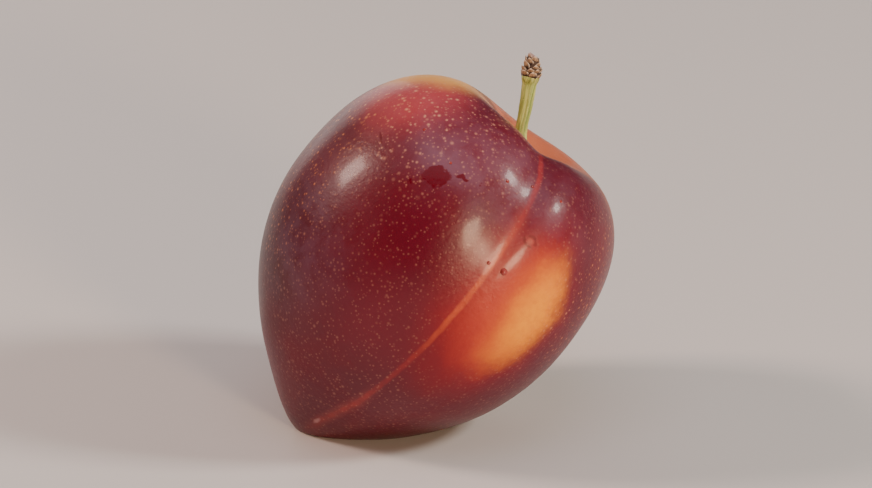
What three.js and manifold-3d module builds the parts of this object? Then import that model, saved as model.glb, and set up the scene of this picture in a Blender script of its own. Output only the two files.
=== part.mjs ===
// Cherry plum: a heart-shaped fruit on its stalk, at rest on a small flat spot.
//
// Millimetres, +Z up. The origin is on the resting spot, straight below the middle of the fruit.
// -Y faces the viewer, who looks at the seam that runs from the stalk hollow to the tip.
//
// Fruit coordinates: z runs along the fruit from tip to stalk, +X is the side of the seam,
// and +Y and -Y are the two cheeks. Three turns then lean the fruit over as it rests.
import * as THREE from "three";
import { mergeVertices } from "three/addons/utils/BufferGeometryUtils.js";
import Module from "manifold-3d";

const wasm = await Module();
wasm.setup();

// Driving dimensions of the fruit
const FRUIT_LENGTH = 37.8; // tip to the top of the dome, before the stalk hollow is sunk
const CHEEK_WIDTH = 31.3; // across the two cheeks, before the shoulders swell
const SEAM_WIDTH = 30.8; // from the seam through to the back, before the shoulders swell
const SHOULDER_SWELL = 0.15; // how much wider the stalk half is than the tip half
const TIP_TAPER = 0.29; // how strongly the flanks run in towards the tip
const CHEEK_UNEVENNESS = 0.07; // the -Y cheek is this share fuller than the +Y cheek
const TIP_DRIFT = { x: -0.6, y: -0.8 }; // the tip lies off the axis by this much
const TIP_POINT = { length: 0.55, reach: 0.4 }; // the blunt point on the tip, reach as a sine

// Driving dimensions of the stalk hollow and the seam
const HOLLOW_DEPTH = 3.1;
const HOLLOW_REACH = { x: 4.7, y: 5.3 }; // how far the funnel spreads from the stalk
const BACK_DIP = { depth: 0.8, x: -7, reach: 5 }; // the rim is lower on the side away from the seam
const NOTCH_DEPTH = 0.7; // where the seam runs out over the rim of the hollow
const NOTCH_REACH = 2.2;
const VALLEY = { depth: 0.58, reach: 4.1, aside: -1.35 }; // the broad valley round the seam's upper half
const SEAM_DEPTH = { nearStalk: 0.2, middle: 0.06 };
const SEAM_REACH = { nearStalk: 1.2, middle: 0.9 };
const SEAM_WANDER = { bow: 0.8, tip: -0.6, notch: -0.6 }; // how far it leaves the fruit's midline

// How the fruit rests
const LEAN = { heading: 16, tilt: 38, spin: -102 }; // degrees, turned about Z, Y and Z
const RESTING_CUT = 1.3; // the flat spot is this far above the uncut fruit's lowest point

// Driving dimensions of the stalk
const STALK_RADIUS = { root: 0.62, middle: 0.55, top: 0.7 };
const COLLAR = { radius: 0.88, length: 0.75 }; // the stalk swells under its bud scales
const STALK_ROOT = 1.6; // how deep the stalk's socket is sunk below the floor of the hollow
const CLEARANCE = 0.3; // left between the pieces where one stands in or on another
// The stalk leaves the hollow along the fruit's axis and bends over towards the -Y cheek.
const STALK_PATH = [
  [0, 0, 0],
  [0, 0, 1.5],
  [-0.44, -1.2, 3.1],
  [-0.8, -2.3, 5.5],
  [-1.14, -3.5, 7.9],
]; // from the socket's floor, in fruit coordinates
const STALK_FACES = { around: 16, along: 28 };

// Driving dimensions of the bud scales
const SCALE_CORE = [
  [0.8, 0],
  [0.84, 0.3],
  [0.76, 0.8],
  [0.62, 1.3],
  [0.42, 1.8],
]; // radius and height of the corky core that the scales grow from
const CORE_DIMPLE = 1.6; // height of the middle of its rough end
const SCALE_RINGS = [
  { height: 0.1, radius: 0.72, count: 6 },
  { height: 0.5, radius: 0.7, count: 6 },
  { height: 0.9, radius: 0.58, count: 5 },
  { height: 1.25, radius: 0.42, count: 4 },
];
const SCALE_SIZE = { long: 0.5, wide: 0.42, thick: 0.22 }; // half sizes of one dry scale
const SCALE_FLARE = { least: 16, most: 34 }; // degrees that a scale stands off the stalk
const SEED = 41;

// Faces round the fruit and from its stalk to its tip
const AROUND = 76;
const ALONG = 46;

const { degToRad, lerp, smoothstep, clamp } = THREE.MathUtils;
const square = (value) => value * value;

// A closed geometry, with its shared vertices merged, as a solid that can be cut and joined.
function toSolid(geometry) {
  const bare = geometry.index ? geometry.toNonIndexed() : geometry.clone();
  bare.deleteAttribute("normal");
  bare.deleteAttribute("uv");
  const merged = mergeVertices(bare, 1e-4);
  return new wasm.Manifold(
    new wasm.Mesh({
      numProp: 3,
      vertProperties: new Float32Array(merged.attributes.position.array),
      triVerts: new Uint32Array(merged.index.array),
    }),
  );
}

function toGeometry(solid) {
  const mesh = solid.getMesh();
  const geometry = new THREE.BufferGeometry();
  geometry.setAttribute("position", new THREE.BufferAttribute(mesh.vertProperties, 3));
  geometry.setIndex(new THREE.BufferAttribute(mesh.triVerts, 1));
  geometry.computeVertexNormals();
  return geometry;
}

function namedMesh(name, solid, finish) {
  const mesh = new THREE.Mesh(toGeometry(solid), new THREE.MeshStandardMaterial(finish));
  mesh.name = name;
  return mesh;
}

// Numbers from 0 to 1 in a fixed order, so that every build is the same.
function seededRandom(seed) {
  let state = seed;
  return () => {
    state = (state * 16807) % 2147483647;
    return state / 2147483647;
  };
}

// How far the seam lies off the fruit's midline, at a height from the tip (-1) to the stalk (1).
function seamLine(height) {
  const bow = SEAM_WANDER.bow * Math.exp(-square((height - 0.35) / 0.75));
  const nearTip = SEAM_WANDER.tip * smoothstep(-height, 0.6, 0.9);
  return bow + nearTip + SEAM_WANDER.notch * smoothstep(height, 0.78, 0.95);
}

// The skin, at an angle from the stalk (0) to the tip (PI) and a turn round the fruit from the seam.
function skinPoint(polar, turn) {
  const height = Math.cos(polar);
  const belly = Math.sin(polar) * (1 + SHOULDER_SWELL * height + TIP_TAPER * height ** 3);
  const side = Math.sin(turn);
  let x = (SEAM_WIDTH / 2) * belly * Math.cos(turn);
  const y = (CHEEK_WIDTH / 2) * belly * side * (1 - CHEEK_UNEVENNESS * side);
  let z = (FRUIT_LENGTH / 2) * height;

  const nearStalk = smoothstep(height, -0.1, 0.5);
  const funnel = Math.exp(-square(x / HOLLOW_REACH.x) - square(y / HOLLOW_REACH.y));
  z -= HOLLOW_DEPTH * nearStalk * funnel;

  const onSeamSide = 1 / (1 + Math.exp(-x));
  z -= NOTCH_DEPTH * nearStalk * onSeamSide * Math.exp(-square(y / NOTCH_REACH));
  z -= BACK_DIP.depth * nearStalk * Math.exp(-(square(x - BACK_DIP.x) + square(y)) / square(BACK_DIP.reach));
  z -= TIP_POINT.length * smoothstep(-height, 0, 0.8) * Math.exp(-square(Math.sin(polar) / TIP_POINT.reach));

  const beside = y - seamLine(height);
  const upper = smoothstep(height, 0.3, 0.9);
  const grooveDepth = lerp(SEAM_DEPTH.middle, SEAM_DEPTH.nearStalk, upper);
  const grooveReach = lerp(SEAM_REACH.middle, SEAM_REACH.nearStalk, upper);
  const groove = grooveDepth * Math.exp(-square(beside / grooveReach));
  const valleyDepth = VALLEY.depth * smoothstep(height, -0.22, 0.48);
  const valley = valleyDepth * Math.exp(-square((beside - VALLEY.aside) / VALLEY.reach));
  x -= (groove + valley) * Math.sin(polar) ** 0.6 * onSeamSide;

  const nearTip = square((1 - height) / 2);
  return new THREE.Vector3(x + TIP_DRIFT.x * nearTip, y + TIP_DRIFT.y * nearTip, z);
}

// A sphere's vertices moved to the skin. The mesh is finer at the seam and in the stalk hollow.
function fruitSkin() {
  const sphere = new THREE.SphereGeometry(1, AROUND, ALONG).rotateX(Math.PI / 2);
  const position = sphere.attributes.position;
  for (let i = 0; i < position.count; i++) {
    const polar = Math.acos(clamp(position.getZ(i), -1, 1));
    const turn = Math.atan2(position.getY(i), position.getX(i));
    const finerPolar = polar - 0.15 * Math.sin(polar) * (1 + Math.cos(polar));
    const finerTurn = turn - 0.45 * Math.sin(turn);
    const point = skinPoint(finerPolar, finerTurn);
    position.setXYZ(i, point.x, point.y, point.z);
  }
  return sphere;
}

const socketFloor = skinPoint(0, 0).z - STALK_ROOT;
const stalkCurve = new THREE.CatmullRomCurve3(
  STALK_PATH.map(([x, y, z]) => new THREE.Vector3(x, y, z + socketFloor)),
);
const stalkLength = stalkCurve.getLength();

// The stalk's radius at a distance along it: slender in the middle, swollen in a collar at the top.
function stalkRadius(distance) {
  const { root, middle, top } = STALK_RADIUS;
  const half = stalkLength / 2;
  const slender = distance < half
    ? lerp(root, middle, smoothstep(distance, 0, half))
    : lerp(middle, top, smoothstep(distance, half, stalkLength));
  const swell = smoothstep(distance, stalkLength - COLLAR.length, stalkLength - COLLAR.length / 3);
  return lerp(slender, COLLAR.radius, swell);
}

// A cylinder bent along the stalk's curve, from a distance along it, with some room round the stalk.
function barAlongStalk(from, room) {
  const bar = new THREE.CylinderGeometry(1, 1, 1, STALK_FACES.around, STALK_FACES.along);
  const frames = stalkCurve.computeFrenetFrames(STALK_FACES.along);
  const position = bar.attributes.position;
  for (let i = 0; i < position.count; i++) {
    const share = position.getY(i) + 0.5;
    const step = Math.round(share * STALK_FACES.along);
    const distance = lerp(from, stalkLength, share);
    const radius = stalkRadius(distance) + room;
    const point = stalkCurve.getPointAt(distance / stalkLength);
    point.addScaledVector(frames.normals[step], position.getX(i) * radius);
    point.addScaledVector(frames.binormals[step], -position.getZ(i) * radius);
    position.setXYZ(i, point.x, point.y, point.z);
  }
  return bar;
}

// Moves a geometry that stands on the origin to the upper end of the stalk, in the stalk's line.
function toStalkEnd(geometry) {
  const up = new THREE.Vector3(0, 0, 1);
  const turn = new THREE.Quaternion().setFromUnitVectors(up, stalkCurve.getTangentAt(1));
  const end = stalkCurve.getPointAt(1);
  return geometry.applyQuaternion(turn).translate(end.x, end.y, end.z);
}

// The dry core on the stalk's end, turned on a lathe, with a dimple in its broken tip.
function scaleCore() {
  const outline = [[0, 0], ...SCALE_CORE, [0, CORE_DIMPLE]];
  const profile = outline.map(([radius, height]) => new THREE.Vector2(radius, height));
  return new THREE.LatheGeometry(profile, 14).rotateX(Math.PI / 2);
}

// One overlapping scale, which stands up and outwards from the core.
function budScale(ring, around, size, flare, lift) {
  return new THREE.SphereGeometry(1, 8, 6)
    .scale(SCALE_SIZE.thick, SCALE_SIZE.wide * size, SCALE_SIZE.long * size)
    .rotateY(flare)
    .translate(ring.radius, 0, ring.height + lift)
    .rotateZ(around);
}

function budScales() {
  const random = seededRandom(SEED);
  let solid = toSolid(toStalkEnd(scaleCore().translate(0, 0, CLEARANCE)));
  SCALE_RINGS.forEach((ring, row) => {
    for (let i = 0; i < ring.count; i++) {
      const around = (2 * Math.PI * (i + row / 2 + 0.3 * random())) / ring.count;
      const size = lerp(0.85, 1.15, random());
      const flare = degToRad(lerp(SCALE_FLARE.least, SCALE_FLARE.most, random()));
      const scale = budScale(ring, around, size, flare, CLEARANCE + 0.12 * random());
      solid = solid.add(toSolid(toStalkEnd(scale)));
    }
  });
  return solid.subtract(toSolid(barAlongStalk(0, CLEARANCE)));
}

const lean = new THREE.Matrix4()
  .makeRotationZ(degToRad(LEAN.heading))
  .multiply(new THREE.Matrix4().makeRotationY(degToRad(LEAN.tilt)))
  .multiply(new THREE.Matrix4().makeRotationZ(degToRad(LEAN.spin)));
const leaningSkin = fruitSkin().applyMatrix4(lean);
leaningSkin.computeBoundingBox();
const middleHeight = -leaningSkin.boundingBox.min.z - RESTING_CUT;

// The fruit, cut flat where it rests and with the stalk's socket sunk in the hollow's floor.
function fruit() {
  const socket = barAlongStalk(0, CLEARANCE).applyMatrix4(lean);
  const ground = new THREE.BoxGeometry(80, 80, 20).translate(0, 0, -10 - middleHeight);
  return toSolid(leaningSkin)
    .subtract(toSolid(socket))
    .subtract(toSolid(ground))
    .translate([0, 0, middleHeight]);
}

const skinFinish = { color: 0x6b1d2b, roughness: 0.35, metalness: 0 };
const stalkFinish = { color: 0x9aa046, roughness: 0.6, metalness: 0 };
const scaleFinish = { color: 0x7d5c42, roughness: 0.9, metalness: 0 };

const leaning = new THREE.Group();
leaning.applyMatrix4(lean);
leaning.position.z = middleHeight;
leaning.add(namedMesh("stem", toSolid(barAlongStalk(CLEARANCE, 0)), stalkFinish));
leaning.add(namedMesh("bud_scales", budScales(), scaleFinish));

const plum = new THREE.Group();
plum.add(namedMesh("fruit", fruit(), skinFinish), leaning);

export default plum;
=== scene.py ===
"""Cherry plum at rest: the look of its skin, stalk and bud scales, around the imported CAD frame.

Metres, +Z up, in the CAD's own frame. Sizes of the fruit are in millimetres in fruit coordinates:
z runs along the fruit from tip to stalk, +X is the side of the seam, +Y and -Y are the two cheeks.
"""
import logging
import math
import random
from dataclasses import dataclass
from enum import Enum
from typing import Sequence

import bmesh
import bpy
from mathutils import Matrix, Vector, noise


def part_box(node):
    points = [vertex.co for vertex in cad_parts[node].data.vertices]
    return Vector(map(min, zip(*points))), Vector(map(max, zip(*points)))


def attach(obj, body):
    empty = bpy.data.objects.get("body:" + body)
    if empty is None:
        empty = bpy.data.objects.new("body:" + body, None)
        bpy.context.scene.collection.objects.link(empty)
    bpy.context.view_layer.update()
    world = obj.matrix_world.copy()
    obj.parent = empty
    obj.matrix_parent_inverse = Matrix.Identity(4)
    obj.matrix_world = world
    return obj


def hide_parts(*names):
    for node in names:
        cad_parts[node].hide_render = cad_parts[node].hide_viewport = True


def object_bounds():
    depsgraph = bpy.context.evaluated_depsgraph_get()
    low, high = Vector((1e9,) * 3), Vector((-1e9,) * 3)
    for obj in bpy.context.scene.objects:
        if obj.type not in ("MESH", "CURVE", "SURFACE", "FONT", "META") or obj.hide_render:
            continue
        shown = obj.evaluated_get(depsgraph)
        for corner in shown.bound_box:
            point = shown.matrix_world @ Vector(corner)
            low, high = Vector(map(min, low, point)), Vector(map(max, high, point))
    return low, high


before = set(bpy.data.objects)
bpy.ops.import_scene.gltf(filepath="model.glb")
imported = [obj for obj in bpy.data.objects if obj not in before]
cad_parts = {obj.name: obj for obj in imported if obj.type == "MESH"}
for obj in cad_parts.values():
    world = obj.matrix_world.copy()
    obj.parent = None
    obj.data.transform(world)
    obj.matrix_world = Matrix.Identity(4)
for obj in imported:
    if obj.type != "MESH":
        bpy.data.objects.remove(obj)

CAD_BOX = [list(corner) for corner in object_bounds()]
MM = 0.001
BODY = "root"

log = logging.getLogger("plum")
logging.basicConfig(level=logging.INFO, format="%(name)s: %(message)s")

Pair = tuple[float, float]
Triple = tuple[float, float, float]
Socket = bpy.types.NodeSocket


def lerp(low: float, high: float, share: float) -> float:
    """Return the value that lies the given share of the way from low to high."""
    return low + (high - low) * share


def smoothstep(value: float, low: float, high: float) -> float:
    """Return 0 below low, 1 above high, and an eased value between them."""
    share = min(1.0, max(0.0, (value - low) / (high - low)))
    return share * share * (3.0 - 2.0 * share)


def bell(distance: float, reach: float) -> float:
    """Return 1 at no distance, fading over the reach as a bell curve."""
    return math.exp(-((distance / reach) ** 2))


def linear(hex_colour: str) -> tuple[float, float, float, float]:
    """Turn a screen colour into the linear colour that a shader socket takes.

    Args:
        hex_colour: Six hexadecimal digits, red first.

    Returns:
        Linear red, green and blue, with an alpha of 1.
    """
    channels = []
    for start in (0, 2, 4):
        value = int(hex_colour[start:start + 2], 16) / 255.0
        channels.append(value / 12.92 if value <= 0.04045 else ((value + 0.055) / 1.055) ** 2.4)
    return (channels[0], channels[1], channels[2], 1.0)


@dataclass(frozen=True)
class DotPattern:
    """Random round dots: cells a unit, radii in cells, and the share of the cells that hold a dot."""

    cells: float
    smallest: float
    largest: float
    share: float


class NodeBench:
    """The nodes of one material, with short ways to add and join them."""

    def __init__(self, name: str) -> None:
        """Start an empty node material of that name."""
        self.material = bpy.data.materials.new(name)
        self.material.use_nodes = True
        self.tree = self.material.node_tree
        self.tree.nodes.clear()
        self.output = self.tree.nodes.new("ShaderNodeOutputMaterial")

    def feed(self, socket: Socket, value: object) -> None:
        """Link a socket to another node's output, or set it to a constant."""
        if isinstance(value, Socket):
            self.tree.links.new(value, socket)
        else:
            socket.default_value = value

    def math(self, operation: str, *values: object) -> Socket:
        """Add a Math node.

        Args:
            operation: Blender's name of the operation.
            values: One to three numbers or sockets.

        Returns:
            The result's socket.
        """
        node = self.tree.nodes.new("ShaderNodeMath")
        node.operation = operation
        for socket, value in zip(node.inputs, values):
            self.feed(socket, value)
        return node.outputs[0]

    def chain(self, operation: str, first: object, *others: object) -> object:
        """Join numbers or sockets one after another by the same Math operation."""
        for other in others:
            first = self.math(operation, first, other)
        return first

    def product(self, *values: object) -> object:
        """Multiply numbers or sockets."""
        return self.chain("MULTIPLY", *values)

    def vector(self, operation: str, *values: object) -> Socket:
        """Add a Vector Math node and return its vector, or its number for a length."""
        node = self.tree.nodes.new("ShaderNodeVectorMath")
        node.operation = operation
        for socket, value in zip(node.inputs, values):
            self.feed(socket, value)
        return node.outputs["Value" if operation == "LENGTH" else "Vector"]

    def split(self, vector: object) -> list[Socket]:
        """Split a vector or a colour into its three numbers."""
        node = self.tree.nodes.new("ShaderNodeSeparateXYZ")
        self.feed(node.inputs[0], vector)
        return list(node.outputs)

    def seen_from(
        self,
        vector: object,
        centre: Sequence[float],
        reach: Sequence[float],
        turn: Sequence[float] = (0, 0, 0),
    ) -> Socket:
        """See a place from a centre, turned by some degrees, in units of its reach.

        Args:
            vector: The place's socket.
            centre: The new middle.
            reach: The length of each new axis.
            turn: Degrees about X, Y and Z.

        Returns:
            The place in the new axes.
        """
        node = self.tree.nodes.new("ShaderNodeMapping")
        node.vector_type = "TEXTURE"
        self.feed(node.inputs["Vector"], vector)
        node.inputs["Location"].default_value = centre
        node.inputs["Rotation"].default_value = [math.radians(angle) for angle in turn]
        node.inputs["Scale"].default_value = reach
        return node.outputs[0]

    def range(
        self, value: object, low: object, high: object, to_low: float = 0.0, to_high: float = 1.0
    ) -> Socket:
        """Ease a value from to_low, where it is low, to to_high, where it is high."""
        node = self.tree.nodes.new("ShaderNodeMapRange")
        node.interpolation_type = "SMOOTHSTEP"
        for socket, number in zip(node.inputs[:5], (value, low, high, to_low, to_high)):
            self.feed(socket, number)
        return node.outputs[0]

    def noise_node(self, vector: object, scale: float, detail: float, roughness: float) -> bpy.types.Node:
        """Add a Noise Texture of so many features a unit."""
        node = self.tree.nodes.new("ShaderNodeTexNoise")
        self.feed(node.inputs["Vector"], vector)
        node.inputs["Scale"].default_value = scale
        node.inputs["Detail"].default_value = detail
        node.inputs["Roughness"].default_value = roughness
        return node

    def noise(self, vector: object, scale: float, detail: float = 2.0, roughness: float = 0.5) -> Socket:
        """Return the number of a Noise Texture of so many features a unit."""
        return self.noise_node(vector, scale, detail, roughness).outputs[0]

    def wander(self, vector: object, scale: float, amount: float) -> Socket:
        """Shift a place by noise, up to half the amount each way, so that edges wander."""
        shift = self.noise_node(vector, scale, 3.0, 0.5).outputs[1]
        centred = self.vector("SUBTRACT", shift, (0.5, 0.5, 0.5))
        return self.vector("ADD", vector, self.vector("MULTIPLY", centred, (amount, amount, amount)))

    def cells(self, vector: object, scale: float) -> bpy.types.Node:
        """Add a Voronoi Texture of so many cells a unit."""
        node = self.tree.nodes.new("ShaderNodeTexVoronoi")
        self.feed(node.inputs["Vector"], vector)
        node.inputs["Scale"].default_value = scale
        return node

    def dots(self, vector: object, pattern: DotPattern) -> Socket:
        """Mask round dots of random sizes in random cells."""
        node = self.cells(vector, pattern.cells)
        size_draw, share_draw, _ = self.split(node.outputs["Color"])
        size = self.math("MULTIPLY_ADD", size_draw, pattern.largest - pattern.smallest, pattern.smallest)
        chosen = self.range(share_draw, pattern.share + 0.02, pattern.share - 0.02)
        return self.product(self.range(node.outputs["Distance"], size, 0.0), chosen)

    def mix(self, share: object, low: object, high: object) -> Socket:
        """Mix two colours, each a socket or six hexadecimal digits, by a share."""
        node = self.tree.nodes.new("ShaderNodeMix")
        node.data_type = "RGBA"
        for index, value in ((0, share), (6, low), (7, high)):
            self.feed(node.inputs[index], linear(value) if isinstance(value, str) else value)
        return node.outputs[2]

    def bump(self, height: object, distance: float) -> Socket:
        """Add a Bump node, whose height of 1 stands out by the distance, in metres."""
        node = self.tree.nodes.new("ShaderNodeBump")
        node.inputs["Strength"].default_value = 1.0
        node.inputs["Distance"].default_value = distance
        self.feed(node.inputs["Height"], height)
        return node.outputs[0]

    def object_place(self) -> Socket:
        """Return the place in Object coordinates, which is the row frame in metres."""
        return self.tree.nodes.new("ShaderNodeTexCoord").outputs["Object"]

    def finish(self, **sockets: object) -> bpy.types.Material:
        """Join a Principled shader to the output.

        Args:
            sockets: Each input's value, under its name with _ for a space.

        Returns:
            The finished material.
        """
        shader = self.tree.nodes.new("ShaderNodeBsdfPrincipled")
        for name, value in sockets.items():
            self.feed(shader.inputs[name.replace("_", " ")], value)
        self.tree.links.new(shader.outputs[0], self.output.inputs["Surface"])
        return self.material


@dataclass(frozen=True)
class FruitShape:
    """The fruit's driving dimensions, in millimetres and degrees, as in the part's source.

    A pair of heights says where a form sets in and where it is full, from the tip, -1, to the stalk, 1.
    """

    length: float = 37.8
    cheek_width: float = 31.3
    seam_width: float = 30.8
    shoulder_swell: float = 0.15
    tip_taper: float = 0.29
    cheek_unevenness: float = 0.07
    tip_drift: Pair = (-0.6, -0.8)
    tip_point: Pair = (0.55, 0.4)
    hollow_depth: float = 3.1
    hollow_reach: Pair = (4.7, 5.3)
    hollow_heights: Pair = (-0.1, 0.5)
    back_dip_depth: float = 0.8
    back_dip_place: float = -7.0
    back_dip_reach: float = 5.0
    notch_depth: float = 0.7
    notch_reach: float = 2.2
    valley_depth: float = 0.58
    valley_reach: float = 4.1
    valley_aside: float = -1.35
    valley_heights: Pair = (-0.22, 0.48)
    seam_depth: Pair = (0.06, 0.2)
    seam_reach: Pair = (0.9, 1.2)
    seam_heights: Pair = (0.3, 0.9)
    seam_bow: float = 0.8
    bow_middle: float = 0.35
    bow_reach: float = 0.75
    seam_ends: Pair = (-0.6, -0.6)
    tip_end_heights: Pair = (-0.6, -0.9)
    notch_end_heights: Pair = (0.78, 0.95)
    heading: float = 16.0
    tilt: float = 38.0
    spin: float = -102.0

    def turned(self) -> Matrix:
        """Return the turn from fruit coordinates to the row frame."""
        return (
            Matrix.Rotation(math.radians(self.heading), 4, "Z")
            @ Matrix.Rotation(math.radians(self.tilt), 4, "Y")
            @ Matrix.Rotation(math.radians(self.spin), 4, "Z")
        )

    def seam_line(self, height: float) -> float:
        """Return how far the seam lies off the midline, at a height from the tip, -1, to the stalk, 1."""
        near_tip = self.seam_ends[0] * smoothstep(height, *self.tip_end_heights)
        near_notch = self.seam_ends[1] * smoothstep(height, *self.notch_end_heights)
        return self.seam_bow * bell(height - self.bow_middle, self.bow_reach) + near_tip + near_notch

    def skin_point(self, polar: float, turn: float) -> Vector:
        """Find a point of the skin.

        Args:
            polar: Angle from the stalk, 0, to the tip, pi.
            turn: Angle round the fruit from the seam.

        Returns:
            The point in fruit coordinates, in millimetres.
        """
        height = math.cos(polar)
        around = math.sin(polar)
        belly = around * (1 + self.shoulder_swell * height + self.tip_taper * height**3)
        side = math.sin(turn)
        x = self.seam_width / 2 * belly * math.cos(turn)
        y = self.cheek_width / 2 * belly * side * (1 - self.cheek_unevenness * side)
        z = self.length / 2 * height

        near_stalk = smoothstep(height, *self.hollow_heights)
        z -= self.hollow_depth * near_stalk * bell(x, self.hollow_reach[0]) * bell(y, self.hollow_reach[1])
        on_seam_side = 1 / (1 + math.exp(-x))
        z -= self.notch_depth * near_stalk * on_seam_side * bell(y, self.notch_reach)
        dip = bell(x - self.back_dip_place, self.back_dip_reach) * bell(y, self.back_dip_reach)
        z -= self.back_dip_depth * near_stalk * dip
        z -= self.tip_point[0] * smoothstep(-height, 0.0, 0.8) * bell(around, self.tip_point[1])

        beside = y - self.seam_line(height)
        upper = smoothstep(height, *self.seam_heights)
        groove = lerp(*self.seam_depth, upper) * bell(beside, lerp(*self.seam_reach, upper))
        in_valley = bell(beside - self.valley_aside, self.valley_reach)
        valley = self.valley_depth * smoothstep(height, *self.valley_heights) * in_valley
        x -= (groove + valley) * max(around, 0.0) ** 0.6 * on_seam_side

        near_tip = ((1 - height) / 2) ** 2
        return Vector((x + self.tip_drift[0] * near_tip, y + self.tip_drift[1] * near_tip, z))


class Pose:
    """Where the fruit rests: the way from fruit coordinates to the row frame."""

    def __init__(self, shape: FruitShape) -> None:
        """Set the fruit's top at the top of the CAD's fruit."""
        self.shape = shape
        self.turn = shape.turned()
        steps = 120
        own_top = max(
            (self.turn @ shape.skin_point(math.pi * row / steps, 2 * math.pi * column / steps)).z
            for row in range(steps + 1)
            for column in range(steps)
        )
        self.middle_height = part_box("fruit")[1].z / MM - own_top
        lift = Matrix.Translation((0, 0, self.middle_height))
        self.to_frame = Matrix.Scale(MM, 4) @ lift @ self.turn

    def fruit_place(self, bench: NodeBench) -> Socket:
        """Return a material's place in fruit coordinates, in millimetres."""
        centre = (0, 0, self.middle_height * MM)
        turn = [math.degrees(angle) for angle in self.turn.to_euler("XYZ")]
        return bench.seen_from(bench.object_place(), centre, (MM, MM, MM), turn)


class Edge(Enum):
    """How an outline runs over the skin: the features a millimetre and the shift of each wander."""

    FIRM = ()
    WANDERING = ((0.22, 3.0), (2.4, 0.9))
    RAGGED = ((1.1, 1.5),)
    UNEVEN = ((0.8, 0.5),)
    WAVERING = ((0.7, 0.3),)
    PITTED = ((2.0, 0.4),)
    CRACKED = ((1.5, 0.3),)


@dataclass(frozen=True)
class Zone:
    """An ellipsoid in fruit coordinates, full in its core's share and fading to nothing at its reach."""

    centre: Triple
    reach: Triple
    core: float = 0.0
    turn: Triple = (0, 0, 0)


@dataclass(frozen=True)
class Stain:
    """A colour of the skin, the zone it is laid over, how strong it is and how its edge runs."""

    name: str
    colour: str
    zone: Zone
    strength: float = 1.0
    edge: Edge = Edge.WANDERING


class Painter(NodeBench):
    """The nodes of one finish in fruit coordinates, whose colours are laid one over another."""

    def __init__(self, name: str, pose: Pose) -> None:
        """Start a finish that sees the fruit as it rests."""
        super().__init__(name)
        self.here = pose.fruit_place(self)
        self.places: dict[Edge, Socket] = {}
        self.colour: object = None

    def at(self, edge: Edge) -> Socket:
        """Return the place as an outline with that edge sees it."""
        if edge not in self.places:
            place = self.here
            for scale, amount in edge.value:
                place = self.wander(place, scale, amount)
            self.places[edge] = place
        return self.places[edge]

    def distance(self, zone: Zone, edge: Edge = Edge.FIRM) -> Socket:
        """Return how far a place lies from a zone's middle, with 1 at the zone's reach."""
        return self.vector("LENGTH", self.seen_from(self.at(edge), zone.centre, zone.reach, zone.turn))

    def zone(self, zone: Zone, edge: Edge = Edge.FIRM) -> Socket:
        """Mask a zone: 1 in its core, fading to 0 at its reach."""
        return self.range(self.distance(zone, edge), 1.0, zone.core)

    def lay(self, name: str, colour: object, mask: object, strength: object = 1.0) -> None:
        """Lay a colour over the colours so far.

        Args:
            name: What the layer shows, which labels its node.
            colour: Six hexadecimal digits or a socket.
            mask: Where it shows, from 0 to 1.
            strength: How much of what lies below it hides.
        """
        self.colour = self.mix(self.product(mask, strength), self.colour, colour)
        self.colour.node.label = name

    def stain(self, stain: Stain) -> None:
        """Lay a stain over the colours so far."""
        self.lay(stain.name, stain.colour, self.zone(stain.zone, stain.edge), stain.strength)


def new_piece(name: str, bm: bmesh.types.BMesh, material: bpy.types.Material) -> bpy.types.Object:
    """Make a finished mesh a smooth piece of the scene, and report it.

    Args:
        name: The piece's name.
        bm: The mesh, in the row frame, which is freed.
        material: Its finish.

    Returns:
        The new object, at the origin.
    """
    mesh = bpy.data.meshes.new(name)
    bmesh.ops.recalc_face_normals(bm, faces=bm.faces)
    for face in bm.faces:
        face.smooth = True
    bm.to_mesh(mesh)
    triangles = sum(len(face.verts) - 2 for face in bm.faces)
    bm.free()
    mesh.materials.append(material)
    piece = bpy.data.objects.new(name, mesh)
    bpy.context.scene.collection.objects.link(piece)
    log.info("%s: %d triangles", name, triangles)
    return piece


@dataclass(frozen=True)
class SeamBand:
    """A soft band along the seam: its half widths in millimetres, faint and full, and where it shows."""

    faint: float
    full: float
    zone: Zone
    strength: float


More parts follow.
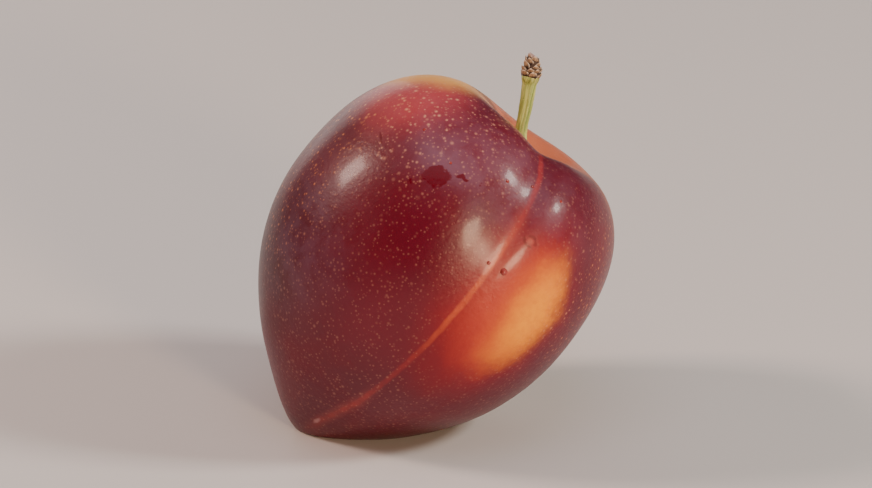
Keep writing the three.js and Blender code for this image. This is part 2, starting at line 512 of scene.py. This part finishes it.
@dataclass(frozen=True)
class SkinFinish:
    """Waxy plum skin: maroon cheeks, a yellow patch by the seam, pale dots, bloom and small marks, with
    painted shade on the underside and the left flank and a painted highlight along the hollow's lip.
    """

    maroon: str = "5c1c2c"
    crimson: str = "641022"
    brown: str = "300a0e"
    # brown is laid only as painted shade, on the underside and the left flank.
    gold: str = "efb060"
    yellow: str = "f29a00"
    seam_pink: str = "b8544a"
    seam_red: str = "a83430"
    seam_orange: str = "cc5a30"
    dot: str = "d89c84"
    dot_orange: str = "dc8850"
    bloom: str = "94839f"
    rubbed: str = "5e0014"
    scar: str = "a8787c"

    stains: tuple[Stain, ...] = (
        Stain("rosy middle", "6e2031", Zone((14.0, -4.0, -4.0), (7.0, 9.0, 9.0), 0.1), 0.85),
        Stain("deep crimson", "600a22", Zone((14.2, -6.6, 4.6), (7.5, 6.5, 5.2), 0.1)),
        # Painted shade: the next two stains darken the underside and the left flank with brown where shade
        # falls; this is not a colour of the skin itself.
        Stain("painted shade underside", brown, Zone((1.0, 9.0, -14.0), (13.0, 11.0, 10.0), 0.2), 0.7),
        Stain("painted shade flank", brown, Zone((-1.0, -14.5, -7.0), (14.0, 8.0, 15.0)), 0.8),
        Stain("plum shoulders", "6e2636", Zone((9.0, -6.0, 13.5), (8.0, 14.0, 6.0), 0.2), 0.8),
        Stain("pink shoulder", "a8434a", Zone((2.6, -13.0, 14.4), (9.0, 8.0, 8.0), 0.3)),
        Stain("gold rim", gold, Zone((-3.1, -10.8, 16.6), (7.4, 9.2, 6.4), 0.35)),
        Stain("amber far rim", "cc7240", Zone((-3.0, 9.6, 15.8), (8.5, 7.5, 6.0), 0.1), 0.9),
        Stain("salmon hollow", "cc7252", Zone((-2.5, 0.5, 16.5), (8.0, 9.0, 4.2), 0.5)),
        Stain("crimson notch", crimson, Zone((7.2, -1.6, 16.8), (2.4, 4.2, 1.9), 0.3), 0.85),
        # Partly painted highlight: a pale gold line along the hollow's crest, partly the skin's own gold and
        # partly painted light where the crest catches the light.
        Stain("gold lip with painted highlight", gold, Zone((3.0, -4.0, 17.5), (5.4, 1.8, 1.1), 0.0, (0, 0, 30)), 0.8, Edge.UNEVEN),
        Stain("red round patch", "8f1620", Zone((14.6, 4.6, 3.6), (9.0, 9.0, 14.0), 0.2)),
        Stain("orange-red patch", "b43c2a", Zone((14.6, 4.6, 3.9), (6.5, 5.7, 9.9), 0.15)),
        Stain("orange patch", "d46426", Zone((13.9, 6.1, 4.2), (5.0, 4.1, 9.0), 0.1)),
    )
    yellow_patch: Zone = Zone((13.4, 7.0, 4.5), (5.0, 3.6, 8.4))

    valley_band: SeamBand = SeamBand(1.1, 0.1, Zone((14.2, 0.4, 9.6), (4.0, 4.0, 5.2), 0.3), 0.28)
    lower_band: SeamBand = SeamBand(1.0, 0.2, Zone((7.0, -0.8, -15.0), (8.0, 8.0, 9.0), 0.3), 0.22)
    seam_line: SeamBand = SeamBand(0.42, 0.1, Zone((20.0, 0.0, 0.0), (21.0, 60.0, 60.0), 0.5), 0.4)

    large_dots: DotPattern = DotPattern(cells=1.15, smallest=0.14, largest=0.36, share=0.8)
    middling_dots: DotPattern = DotPattern(cells=1.7, smallest=0.18, largest=0.42, share=0.8)
    fine_dots: DotPattern = DotPattern(cells=2.6, smallest=0.2, largest=0.46, share=0.85)
    rubbed_flecks: DotPattern = DotPattern(cells=1.9, smallest=0.0, largest=0.34, share=0.95)

    bloom_strength: float = 0.13
    roughness: float = 0.31
    pore_height: float = 0.000036

    def build(self, pose: Pose) -> bpy.types.Material:
        """Paint the skin's layers in order and give it its gloss."""
        bench = Painter("plum_skin", pose)
        clouds = bench.range(bench.noise(bench.here, 0.12, 5.0), 0.4, 0.66)
        bench.colour = bench.mix(clouds, self.maroon, self.crimson)
        for stain in self.stains:
            bench.stain(stain)
        mottle = bench.range(bench.noise(bench.here, 1.3, 5.0, 0.65), 0.3, 0.6, 0.72, 1.0)
        bench.lay("yellow patch", self.yellow, bench.zone(self.yellow_patch, Edge.WANDERING), mottle)
        bloom = self.bloom_mask(bench)
        bench.lay("lilac bloom", self.bloom, bloom, self.bloom_strength)
        self.draw_seam(bench, pose.shape)
        dots = self.dot_mask(bench)
        bench.lay("dots", bench.mix(self.flank_mask(bench), self.dot, self.dot_orange), dots)
        rubbed = self.rubbed_mask(bench)
        bench.lay("rubbed skin", self.rubbed, rubbed)
        self.draw_small_marks(bench)

        pores = bench.noise(bench.here, 2.1, 3.0, 0.6)
        rough = self.roughness
        for cause, change in ((rubbed, -0.1), (pores, 0.12), (bloom, 0.08)):
            rough = bench.math("MULTIPLY_ADD", cause, change, rough)
        return bench.finish(
            Base_Color=bench.colour,
            Roughness=rough,
            Normal=bench.bump(bench.math("MULTIPLY_ADD", dots, 0.4, pores), self.pore_height),
            IOR=1.32,
            Coat_Weight=0.12,
            Coat_Roughness=0.13,
            Subsurface_Weight=0.06,
            Subsurface_Radius=(1.0, 0.35, 0.2),
            Subsurface_Scale=0.0012,
        )

    def beside_seam(self, bench: Painter, shape: FruitShape) -> Socket:
        """Return how far a place lies to the side of the seam's wandering line, in millimetres."""
        _, across, along = bench.split(bench.at(Edge.WAVERING))
        height = bench.math("DIVIDE", along, shape.length / 2)
        from_bow = bench.math("DIVIDE", bench.math("SUBTRACT", height, shape.bow_middle), shape.bow_reach)
        bow = bench.product(bench.math("EXPONENT", bench.product(from_bow, from_bow, -1.0)), shape.seam_bow)
        near_tip = bench.range(height, *shape.tip_end_heights, 0.0, shape.seam_ends[0])
        near_notch = bench.range(height, *shape.notch_end_heights, 0.0, shape.seam_ends[1])
        half = bench.math("MULTIPLY_ADD", height, -0.5, 0.5)
        drift = bench.product(half, half, shape.tip_drift[1])
        line = bench.chain("ADD", near_tip, near_notch, bow, drift)
        return bench.math("SUBTRACT", across, line)

    def draw_seam(self, bench: Painter, shape: FruitShape) -> None:
        """Draw the seam's line: red by the notch, orange beside the patch, fading to the tip."""
        beside = bench.math("ABSOLUTE", self.beside_seam(bench, shape))
        patchy = bench.range(bench.noise(bench.here, 0.9, 3.0), 0.25, 0.7, 0.55, 1.0)
        valley, lower, line = (
            bench.product(bench.range(beside, band.faint, band.full), bench.zone(band.zone))
            for band in (self.valley_band, self.lower_band, self.seam_line)
        )
        bench.lay("band in the valley", self.seam_pink, valley, self.valley_band.strength)
        bench.lay("band by the tip", self.seam_pink, bench.product(lower, patchy), self.lower_band.strength)
        beside_patch = bench.zone(Zone((15.0, 0.0, 3.0), (9.0, 4.0, 9.5), 0.3))
        by_notch = bench.zone(Zone((9.0, 0.2, 15.6), (4.0, 4.0, 2.4), 0.5))
        strength = self.seam_line.strength
        for zone in (beside_patch, by_notch):
            strength = bench.math("MULTIPLY_ADD", zone, 0.3, strength)
        tone = bench.mix(beside_patch, self.seam_red, self.seam_orange)
        bench.lay("seam line", tone, bench.product(line, patchy), strength)

    def dot_mask(self, bench: Painter) -> Socket:
        """Mask the pale skin dots: large and bright by the stalk, fine and faint towards the tip."""
        large, middling, fine = (
            bench.dots(bench.here, pattern)
            for pattern in (self.large_dots, self.middling_dots, self.fine_dots)
        )
        by_stalk = bench.zone(Zone((2.0, -10.0, 13.0), (15.0, 15.0, 12.0), 0.3))
        flanks = bench.math("MAXIMUM", by_stalk, self.flank_mask(bench))
        thinning = bench.range(bench.noise(bench.here, 0.3, 2.0), 0.35, 0.65, 0.08, 0.3)
        shoulder = bench.product(large, by_stalk)
        spread = bench.product(middling, bench.math("MULTIPLY_ADD", flanks, 0.8, thinning))
        everywhere = bench.product(fine, bench.math("MULTIPLY_ADD", flanks, 0.2, 0.26))
        patch = bench.zone(Zone((14.6, 3.6, 3.0), (9.0, 6.5, 14.0), 0.4))
        clearness = bench.math("MULTIPLY_ADD", patch, -0.7, 0.85)
        return bench.product(bench.chain("MAXIMUM", shoulder, spread, everywhere), clearness)

    def flank_mask(self, bench: Painter) -> Socket:
        """Mask the flanks, whose dots are more orange."""
        left = bench.zone(Zone((2.0, -15.0, 4.0), (9.0, 6.0, 16.0), 0.3))
        right = bench.zone(Zone((6.0, 12.0, 9.0), (9.0, 8.0, 12.0), 0.3))
        return bench.math("MAXIMUM", left, right)

    def bloom_mask(self, bench: Painter) -> Socket:
        """Mask the thin lilac bloom that is left on the shoulders, thickest above the rubbed patch."""
        patches = bench.range(bench.noise(bench.at(Edge.WANDERING), 0.35, 4.0, 0.6), 0.3, 0.65)
        shoulders = bench.zone(Zone((10.0, -4.0, 13.5), (12.0, 16.0, 8.0), 0.2), Edge.WANDERING)
        cheek = bench.zone(Zone((7.0, -13.5, -2.0), (10.0, 8.0, 12.0), 0.1), Edge.WANDERING)
        thick = bench.zone(Zone((12.0, -7.8, 11.6), (3.4, 4.8, 3.0), 0.25), Edge.WANDERING)
        spread = bench.product(patches, bench.math("MAXIMUM", shoulders, cheek))
        return bench.math("MULTIPLY_ADD", thick, 1.15, spread)

    def rubbed_mask(self, bench: Painter) -> Socket:
        """Mask three patches and some flecks where the bloom is rubbed off and the skin is dark red."""
        patches = [bench.zone(zone, Edge.RAGGED) for zone in (
            Zone((12.4, -8.2, 10.1), (1.6, 1.5, 0.9), 0.8, (38, 0, 0)),
            Zone((12.2, -9.9, 8.2), (1.0, 0.45, 0.35), 0.6),
            Zone((12.9, -6.4, 11.4), (1.2, 0.8, 0.28), 0.6, (30, 0, 0)),
        )]
        speckled = bench.zone(Zone((13.4, -4.2, 11.2), (3.0, 2.4, 1.8), 0.4))
        flecks = bench.product(bench.dots(bench.at(Edge.PITTED), self.rubbed_flecks), speckled)
        return bench.chain("MAXIMUM", *patches, flecks)

    def draw_small_marks(self, bench: Painter) -> None:
        """Add the ring by the seam, two dark nicks and the pale scar at the tip."""
        away = bench.distance(Zone((14.1, 2.5, 10.4), (1.5, 0.8, 0.62)))
        ring = bench.product(bench.range(away, 0.45, 0.7), bench.range(away, 1.1, 0.8))
        broken = bench.range(bench.noise(bench.here, 1.3, 1.0), 0.42, 0.55)
        bench.lay("ring", self.rubbed, bench.product(ring, broken), 0.6)
        bench.lay("middle of the ring", self.seam_pink, bench.range(away, 0.6, 0.2), 0.45)
        for centre in ((8.0, -13.7, 8.8), (7.6, -13.7, 9.5)):
            nick = Zone(centre, (1.0, 0.7, 0.16), 0.5, (0, 30, 0))
            bench.lay("nick", self.rubbed, bench.zone(nick), 0.8)
        tip_scar = Zone((4.1, -1.45, -16.8), (0.95, 0.3, 0.7), 0.2, (0, -36, 0))
        bench.lay("scar at the tip", self.scar, bench.zone(tip_scar, Edge.CRACKED), 0.8)


@dataclass
class Fruit:
    """The fruit's skin, closed, resting on a softly flattened spot."""

    shape: FruitShape
    pose: Pose
    finish: SkinFinish = SkinFinish()
    cuts: int = 127
    press: float = 0.12
    unevenness: float = 0.1
    swells_a_millimetre: float = 0.16

    def placed(self, polar: float, turn: float, spread: Vector) -> Vector:
        """Place a point of the skin in the row frame, with the relief of slow uneven growth.

        Args:
            polar: Angle from the stalk.
            turn: Angle round the fruit from the seam.
            spread: The direction in fruit coordinates in which the relief stands out.

        Returns:
            The point, in metres.
        """
        point = self.shape.skin_point(polar, turn)
        relief = self.unevenness * noise.noise(point * self.swells_a_millimetre)
        return self.pose.to_frame @ (point + spread * relief)

    def skin_place(self, polar: float, turn: float) -> tuple[Vector, Vector]:
        """Find a point of the skin and the outward direction there, in the row frame."""
        step = 0.01
        points = []
        for near_polar, near_turn in ((polar, turn), (polar + step, turn), (polar, turn + step)):
            around = math.sin(near_polar)
            level = Vector((math.cos(near_turn), math.sin(near_turn), 0))
            spread = level * around + Vector((0, 0, math.cos(near_polar)))
            points.append(self.placed(near_polar, near_turn, spread))
        down, round_seam = points[1] - points[0], points[2] - points[0]
        return points[0], down.cross(round_seam).normalized()

    def pressed(self, height: float) -> float:
        """Ease a height that would lie below the ground up to the ground."""
        return (height + math.hypot(height, self.press)) / 2

    def mesh(self) -> bmesh.types.BMesh:
        """Subdivide a cube, round it to a ball and move it to the skin."""
        bm = bmesh.new()
        bmesh.ops.create_cube(bm, size=2.0)
        bmesh.ops.subdivide_edges(bm, edges=bm.edges[:], cuts=self.cuts, use_grid_fill=True)
        for vertex in bm.verts:
            spread = Vector([math.tan(value * math.pi / 4) for value in vertex.co]).normalized()
            polar = math.acos(max(-1.0, min(1.0, spread.z)))
            point = self.placed(polar, math.atan2(spread.y, spread.x), spread)
            point.z = self.pressed(point.z / MM) * MM
            vertex.co = point
        return bm

    def build(self) -> bpy.types.Object:
        """Build the skin in place of the CAD's fruit."""
        piece = new_piece("fruit_skin", self.mesh(), self.finish.build(self.pose))
        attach(piece, BODY)
        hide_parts("fruit")
        return piece


@dataclass(frozen=True)
class Drop:
    """One drop: degrees from the stalk and round from the seam, and radius and height in millimetres."""

    polar: float
    turn: float
    radius: float
    height: float


@dataclass(frozen=True)
class JuiceFinish:
    """Clear dark-red juice with a wet gloss."""

    juice: str = "8a2a2c"
    edge: str = "a04a44"
    streaks_a_metre: float = 2600.0

    def build(self) -> bpy.types.Material:
        """Build the juice's nodes."""
        bench = NodeBench("red_juice")
        streaks = bench.noise(bench.object_place(), self.streaks_a_metre)
        colour = bench.mix(streaks, self.juice, self.edge)
        return bench.finish(Base_Color=colour, Roughness=0.07, IOR=1.34, Coat_Weight=0.3, Coat_Roughness=0.03)


@dataclass
class JuiceDrops:
    """Tiny drops of juice that stand on the skin beside the seam and on the shoulder."""

    fruit: Fruit
    finish: JuiceFinish = JuiceFinish()
    drops: tuple[Drop, ...] = (
        Drop(polar=68.5, turn=7.8, radius=0.36, height=0.22),
        Drop(polar=67.8, turn=1.5, radius=0.2, height=0.1),
        Drop(polar=42.8, turn=-10.2, radius=0.18, height=0.08),
        Drop(polar=36.8, turn=0.8, radius=0.16, height=0.08),
        Drop(polar=38.0, turn=15.5, radius=0.15, height=0.07),
        Drop(polar=47.8, turn=-49.5, radius=0.16, height=0.07),
        Drop(polar=51.0, turn=-31.7, radius=0.15, height=0.08),
    )

    def build(self) -> bpy.types.Object:
        """Set a low dome on the skin for each drop."""
        bm = bmesh.new()
        for drop in self.drops:
            foot, outward = self.fruit.skin_place(math.radians(drop.polar), math.radians(drop.turn))
            upright = Vector((0, 0, 1)).rotation_difference(outward).to_matrix().to_4x4()
            size = Matrix.Diagonal((drop.radius * MM, drop.radius * MM, drop.height * MM, 1.0))
            stand = Matrix.Translation(foot) @ upright @ size
            bmesh.ops.create_icosphere(bm, subdivisions=2, radius=1.0, matrix=stand)
        piece = new_piece("juice_drops", bm, self.finish.build())
        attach(piece, BODY)
        return piece


@dataclass(frozen=True)
class StalkPath:
    """The stalk's course in fruit coordinates, in millimetres, from below the hollow's floor."""

    root: float = 1.6
    points: tuple[Triple, ...] = (
        (0, 0, 0),
        (0, 0, 1.5),
        (-0.44, -1.2, 3.1),
        (-0.8, -2.3, 5.5),
        (-1.14, -3.5, 7.9),
    )

    def at(self, shape: FruitShape, share: float) -> tuple[Vector, Vector]:
        """Find a point of the course.

        Args:
            shape: The fruit, whose hollow the stalk stands in.
            share: From 0 at the root to 1 at the upper end.

        Returns:
            The point and the direction there.
        """
        floor = shape.skin_point(0, 0).z - self.root
        spans = len(self.points) - 1
        index = min(int(share * spans), spans - 1)
        local = share * spans - index
        before, start, end, after = (
            Vector(self.points[max(0, min(spans, index + step))]) for step in (-1, 0, 1, 2)
        )
        slope_in = (end - before) / 2
        slope_out = (after - start) / 2
        cubic = 2 * start - 2 * end + slope_in + slope_out
        square = 3 * end - 3 * start - 2 * slope_in - slope_out
        point = cubic * local**3 + square * local**2 + slope_in * local + start
        direction = 3 * cubic * local**2 + 2 * square * local + slope_in
        return point + Vector((0, 0, floor)), direction.normalized()


@dataclass(frozen=True)
class StalkFinish:
    """Young green-yellow bark, paler along its ridges, with a brown tinge under the scales."""

    green: str = "74883a"
    yellow: str = "bcc46c"
    brown: str = "9c8444"
    grain: Triple = (0.22, 0.22, 3.4)
    grain_turn: Triple = (22, -7, 0)

    def build(self, pose: Pose) -> bpy.types.Material:
        """Build the stalk's nodes in fruit coordinates."""
        bench = Painter("green_stalk_bark", pose)
        grain = bench.seen_from(bench.here, (0, 0, 0), self.grain, self.grain_turn)
        streaks = bench.noise(grain, 1.0, 4.0, 0.6)
        bench.colour = bench.mix(bench.range(streaks, 0.35, 0.65), self.green, self.yellow)
        bench.lay("brown tinge", self.brown, bench.zone(Zone((-1.2, -3.4, 22.2), (1.6, 1.6, 1.3), 0.3)), 0.6)
        specks = bench.range(bench.cells(bench.here, 3.2).outputs["Distance"], 0.22, 0.1)
        bench.lay("pale specks", self.yellow, specks, 0.5)
        return bench.finish(
            Base_Color=bench.colour,
            Roughness=0.5,
            Normal=bench.bump(bench.math("ADD", streaks, specks), 0.00005),
            Subsurface_Weight=0.15,
            Subsurface_Radius=(0.6, 0.9, 0.3),
            Subsurface_Scale=0.0004,
        )


@dataclass
class Stalk:
    """The thin stalk, bent, finely ridged and swollen under the bud scales."""

    shape: FruitShape
    pose: Pose
    path: StalkPath = StalkPath()
    finish: StalkFinish = StalkFinish()
    root_radius: float = 0.62
    middle_radius: float = 0.55
    top_radius: float = 0.7
    collar_radius: float = 0.88
    collar_share: float = 0.09
    sides: int = 40
    steps: int = 90
    ridges: int = 7
    ridge_height: float = 0.035
    ridge_twist: float = 2.5
    unevenness: float = 0.04

    def radius(self, share: float, turn: float) -> float:
        """Return the radius at a share of the length and a turn round the stalk."""
        slender = (
            lerp(self.root_radius, self.middle_radius, smoothstep(share, 0, 0.5))
            if share < 0.5
            else lerp(self.middle_radius, self.top_radius, smoothstep(share, 0.5, 1))
        )
        swell = smoothstep(share, 1 - self.collar_share, 1 - self.collar_share / 3)
        ridge = self.ridge_height * math.cos(self.ridges * turn + self.ridge_twist * share)
        rough = self.unevenness * noise.noise(Vector((math.cos(turn), math.sin(turn), share * 9)) * 1.3)
        return lerp(slender, self.collar_radius, swell) + ridge * (1 - 0.6 * swell) + rough

    def mesh(self) -> bmesh.types.BMesh:
        """Cut a straight bar into steps and bend it along the path."""
        bm = bmesh.new()
        bmesh.ops.create_cone(bm, cap_ends=True, segments=self.sides, radius1=1.0, radius2=1.0, depth=1.0)
        upright = [edge for edge in bm.edges if abs(edge.verts[0].co.z - edge.verts[1].co.z) > 0.5]
        bmesh.ops.subdivide_edges(bm, edges=upright, cuts=self.steps)
        for vertex in bm.verts:
            share = vertex.co.z + 0.5
            turn = math.atan2(vertex.co.y, vertex.co.x)
            centre, direction = self.path.at(self.shape, share)
            sideways = direction.cross(Vector((0, 1, 0))).normalized()
            across = direction.cross(sideways)
            outward = sideways * math.cos(turn) + across * math.sin(turn)
            vertex.co = self.pose.to_frame @ (centre + outward * self.radius(share, turn))
        return bm

    def build(self) -> bpy.types.Object:
        """Build the stalk in place of the CAD's stem."""
        piece = new_piece("stalk", self.mesh(), self.finish.build(self.pose))
        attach(piece, BODY)
        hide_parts("stem")
        return piece


@dataclass(frozen=True)
class ScaleFinish:
    """Dry brown bud scales with pale worn edges, a pale corky break and painted shadow at the foot of each
    scale.
    """

    brown: str = "70503a"
    tan: str = "a88a6a"
    # dark paints the shadow at each scale's foot, where the scale above overlaps it.
    dark: str = "2e1a12"
    pale: str = "e0ccb4"
    cork: str = "c8a8a0"
    grain: Triple = (0.2, 0.2, 1.4)
    grain_turn: Triple = (22, -7, 0)

    def build(self, pose: Pose) -> bpy.types.Material:
        """Build the scales' nodes from fruit coordinates and from each scale's own layout."""
        bench = Painter("dry_bud_scales", pose)
        grain = bench.seen_from(bench.here, (0, 0, 0), self.grain, self.grain_turn)
        fibres = bench.noise(grain, 2.0, 4.0, 0.6)
        bench.colour = bench.mix(bench.range(fibres, 0.3, 0.6), self.brown, self.tan)
        across, upward, _ = bench.split(bench.tree.nodes.new("ShaderNodeUVMap").outputs[0])
        # Painted shadow: each scale darkens towards its foot, where the scale above overlaps and shades it.
        bench.lay("painted shadow at the foot", self.dark, bench.range(upward, 0.4, -0.1))
        tip = bench.range(upward, 0.62, 0.92)
        side = bench.range(bench.math("ABSOLUTE", across), 0.6, 0.95)
        bench.lay("pale edge", self.pale, bench.math("MAXIMUM", tip, bench.product(side, 0.6)), 0.85)
        bench.lay("corky break", self.cork, bench.zone(Zone((-1.5, -4.6, 23.7), (1.1, 0.9, 0.7), 0.4)), 0.7)
        return bench.finish(Base_Color=bench.colour, Roughness=0.82, Normal=bench.bump(fibres, 0.00006))


@dataclass(frozen=True)
class ScaleRing:
    """One ring of scales: its height and radius in millimetres, their count and outward lean in degrees."""

    height: float
    radius: float
    count: int
    lean: float


@dataclass
class BudScales:
    """Rings of small dry scales round the stalk's end, with a rough corky tip."""

    shape: FruitShape
    pose: Pose
    path: StalkPath = StalkPath()
    finish: ScaleFinish = ScaleFinish()
    core: tuple[Pair, ...] = (
        (0.8, -0.1),
        (0.84, 0.3),
        (0.8, 0.9),
        (0.68, 1.4),
        (0.52, 1.9),
        (0.36, 2.12),
    )
    core_dimple: float = 0.3
    core_sides: int = 28
    core_unevenness: float = 0.16
    rings: tuple[ScaleRing, ...] = (
        ScaleRing(height=0.04, radius=0.86, count=6, lean=22.0),
        ScaleRing(height=0.42, radius=0.84, count=6, lean=19.0),
        ScaleRing(height=0.8, radius=0.8, count=5, lean=14.0),
        ScaleRing(height=1.2, radius=0.7, count=5, lean=6.0),
        ScaleRing(height=1.56, radius=0.52, count=4, lean=-4.0),
    )
    half_size: Triple = (0.075, 0.5, 0.56)
    point_taper: float = 0.5
    cup_depth: float = 0.24
    flare_spread: float = 9.0
    slant: Pair = (4.0, 26.0)
    size_spread: Pair = (0.75, 1.1)
    top_slope: float = 0.42
    seed: int = 41

    def core_mesh(self, bm: bmesh.types.BMesh) -> None:
        """Spin the core's outline about the stalk's line, with a dimpled end."""
        outline = [(0.0, self.core[0][1]), *self.core, (0.0, self.core[-1][1] - self.core_dimple)]
        vertices = [bm.verts.new((radius, 0, height)) for radius, height in outline]
        edges = [bm.edges.new(pair) for pair in zip(vertices, vertices[1:])]
        bmesh.ops.spin(
            bm,
            geom=vertices + edges,
            cent=(0, 0, 0),
            axis=(0, 0, 1),
            angle=2 * math.pi,
            steps=self.core_sides,
            use_merge=True,
        )
        bmesh.ops.remove_doubles(bm, verts=bm.verts[:], dist=1e-5)
        for vertex in bm.verts:
            outward = Vector((vertex.co.x, vertex.co.y, 0.4))
            vertex.co += outward * self.core_unevenness * noise.noise(vertex.co * 3.0)

    def scale_mesh(self, bm: bmesh.types.BMesh, place: Matrix, size: float) -> None:
        """Add one pointed, cupped scale.

        Args:
            bm: The mesh that takes it.
            place: Where its middle goes.
            size: Its size against the usual one.
        """
        made = bmesh.ops.create_uvsphere(bm, u_segments=10, v_segments=8, radius=1.0)
        layout = bm.loops.layers.uv.verify()
        for vertex in made["verts"]:
            x, y, z = vertex.co
            for loop in vertex.link_loops:
                loop[layout].uv = (y, z)
            width = 1 - self.point_taper * max(0.0, z) ** 2
            cup = -self.cup_depth * (y * width) ** 2
            half_x, half_y, half_z = self.half_size
            vertex.co = place @ (Vector((x * half_x + cup, y * half_y * width, z * half_z)) * size)

    def build(self) -> bpy.types.Object:
        """Build the scales in place of the CAD's bud scales."""
        draw = random.Random(self.seed)
        bm = bmesh.new()
        self.core_mesh(bm)
        for row, ring in enumerate(self.rings):
            for index in range(ring.count):
                around = 2 * math.pi * (index + row / 2 + 0.3 * draw.random()) / ring.count
                lean = math.radians(ring.lean + draw.uniform(-0.5, 1.0) * self.flare_spread)
                place = (
                    Matrix.Rotation(around, 4, "Z")
                    @ Matrix.Translation((ring.radius, 0, ring.height + 0.12 * draw.random()))
                    @ Matrix.Rotation(lean, 4, "Y")
                    @ Matrix.Rotation(math.radians(draw.uniform(*self.slant)), 4, "X")
                )
                self.scale_mesh(bm, place, draw.uniform(*self.size_spread))
        for vertex in bm.verts:
            vertex.co.z -= self.top_slope * vertex.co.y * smoothstep(vertex.co.z, 0.6, 1.9)
        end, direction = self.path.at(self.shape, 1.0)
        upright = Vector((0, 0, 1)).rotation_difference(direction).to_matrix().to_4x4()
        bm.transform(self.pose.to_frame @ Matrix.Translation(end) @ upright)
        piece = new_piece("bud_scale_rings", bm, self.finish.build(self.pose))
        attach(piece, BODY)
        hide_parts("bud_scales")
        return piece


@dataclass(frozen=True)
class Aim:
    """Where a thing hangs, seen from the fruit: degrees to the right of the front, degrees up, and metres."""

    azimuth: float
    elevation: float
    distance: float

    def away(self) -> Vector:
        """Return the direction in which it hangs."""
        azimuth, elevation = math.radians(self.azimuth), math.radians(self.elevation)
        return Vector((
            math.sin(azimuth) * math.cos(elevation),
            -math.cos(azimuth) * math.cos(elevation),
            math.sin(elevation),
        ))

    def set_up(self, thing: bpy.types.Object, target: Vector) -> None:
        """Put a light or the camera in its place, facing the target."""
        thing.location = target + self.away() * self.distance
        thing.rotation_euler = self.away().to_track_quat("Z", "Y").to_euler()
        bpy.context.scene.collection.objects.link(thing)


@dataclass(frozen=True)
class Softbox:
    """One square studio light, with its side in metres."""

    name: str
    aim: Aim
    side: float
    watts: float
    colour: str

    def build(self, target: Vector) -> None:
        """Hang the light and aim it at the target."""
        data = bpy.data.lights.new(self.name, "AREA")
        data.shape = "SQUARE"
        data.size = self.side
        data.energy = self.watts
        data.color = linear(self.colour)[:3]
        self.aim.set_up(bpy.data.objects.new(self.name, data), target)


@dataclass
class Studio:
    """A pale floor, soft lights and the camera at the photo's viewing angle."""

    target: Vector
    camera_aim: Aim = Aim(azimuth=0.0, elevation=21.0, distance=0.7)
    lens: float = 300.0
    floor_size: float = 8.0
    floor_colour: str = "d6d5d3"
    floor_grain_colour: str = "c4c3c1"
    surround_colour: str = "f4f5f8"
    surround_strength: float = 0.05
    lights: tuple[Softbox, ...] = (
        Softbox("left_softbox", Aim(-96, 38, 0.6), side=0.12, watts=2.5, colour="ffdccc"),
        Softbox("overhead_softbox", Aim(-10, 75, 0.8), side=0.6, watts=1.6, colour="eceeff"),
        Softbox("right_softbox", Aim(80, 34, 0.6), side=0.11, watts=2.8, colour="fff4ea"),
        Softbox("warm_softbox", Aim(26, 13, 0.7), side=0.12, watts=3.6, colour="ffd4ac"),
        Softbox("rim_softbox", Aim(-158, 12, 0.7), side=0.4, watts=0.95, colour="fff2ea"),
    )

    def camera(self) -> None:
        """Set the camera in front, above the floor, at the photo's viewing angle."""
        data = bpy.data.cameras.new("camera")
        data.lens = self.lens
        camera = bpy.data.objects.new("camera", data)
        self.camera_aim.set_up(camera, self.target)
        bpy.context.scene.camera = camera

    def floor(self) -> None:
        """Lay the floor."""
        bm = bmesh.new()
        bmesh.ops.create_grid(bm, x_segments=1, y_segments=1, size=self.floor_size / 2)
        bench = NodeBench("pale_floor")
        grain = bench.product(bench.noise(bench.object_place(), 40.0, 3.0), 0.05)
        colour = bench.mix(grain, self.floor_colour, self.floor_grain_colour)
        piece = new_piece("floor", bm, bench.finish(Base_Color=colour, Roughness=0.55))

    def surround(self) -> None:
        """Light the studio's surround evenly."""
        world = bpy.data.worlds.new("studio_surround")
        bpy.context.scene.world = world
        world.use_nodes = True
        background = world.node_tree.nodes["Background"]
        background.inputs["Color"].default_value = linear(self.surround_colour)
        background.inputs["Strength"].default_value = self.surround_strength

    def build(self) -> None:
        """Build the whole studio."""
        self.camera()
        self.floor()
        self.surround()
        for light in self.lights:
            light.build(self.target)
        log.info("studio: %d softboxes", len(self.lights))


def main() -> None:
    """Build the studio and the plum's pieces in order."""
    shape = FruitShape()
    pose = Pose(shape)
    low, high = Vector(CAD_BOX[0]), Vector(CAD_BOX[1])
    Studio(target=(low + high) / 2).build()
    fruit = Fruit(shape, pose)
    fruit.build()
    JuiceDrops(fruit).build()
    Stalk(shape, pose).build()
    BudScales(shape, pose).build()


if __name__ == "__main__":
    main()
